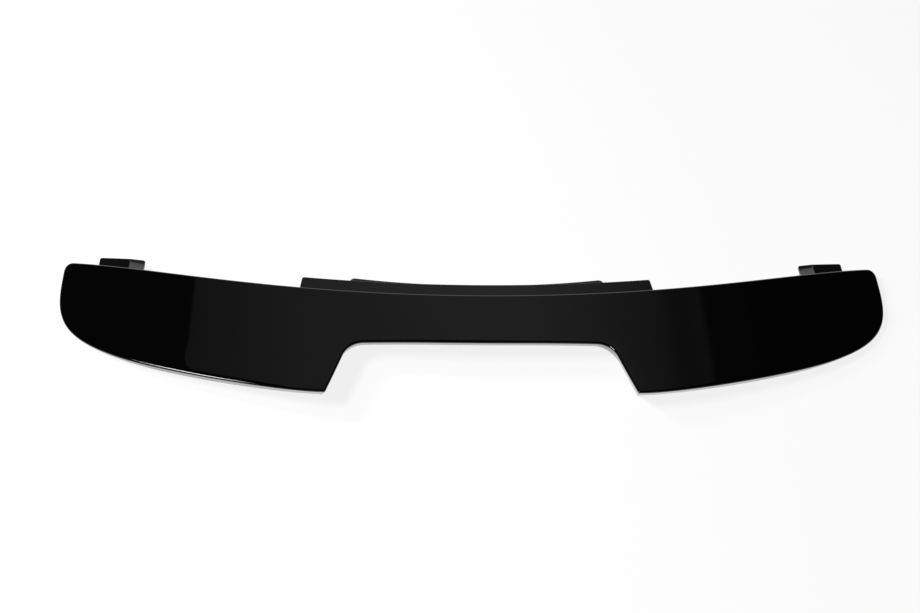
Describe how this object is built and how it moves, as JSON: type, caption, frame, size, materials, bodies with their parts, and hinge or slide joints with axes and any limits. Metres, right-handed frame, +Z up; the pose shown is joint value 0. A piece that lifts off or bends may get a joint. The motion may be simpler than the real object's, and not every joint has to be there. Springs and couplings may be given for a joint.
{
  "type": "car spoiler",
  "caption": "Hatchback tailgate roof spoiler: crowned gloss black wing with a wide notch in its trailing edge, a glued closing shell, a front tongue and end tabs, and screw bosses.",
  "frame": {"origin": "on the table, below the middle of the outer box", "axes": "+X across the car to its right, +Y forwards towards the roof, +Z up"},
  "size_m": [1.099, 0.2524, 0.0453],
  "materials": {
    "gloss_black": "painted gloss black",
    "satin_black": "moulded satin black",
    "rubber_black": "matt",
    "brass": "turned",
    "foam_grey": "closed-cell foam"
  },
  "bodies": {
    "root": {"upper_shell": "gloss_black", "lower_shell": "satin_black", "tongue_seal": "rubber_black", "left_outer_insert": "brass", "left_inner_insert": "brass", "right_inner_insert": "brass", "right_outer_insert": "brass", "left_outer_gasket": "foam_grey", "left_inner_gasket": "foam_grey", "right_inner_gasket": "foam_grey", "right_outer_gasket": "foam_grey"}
  },
  "joints": []
}
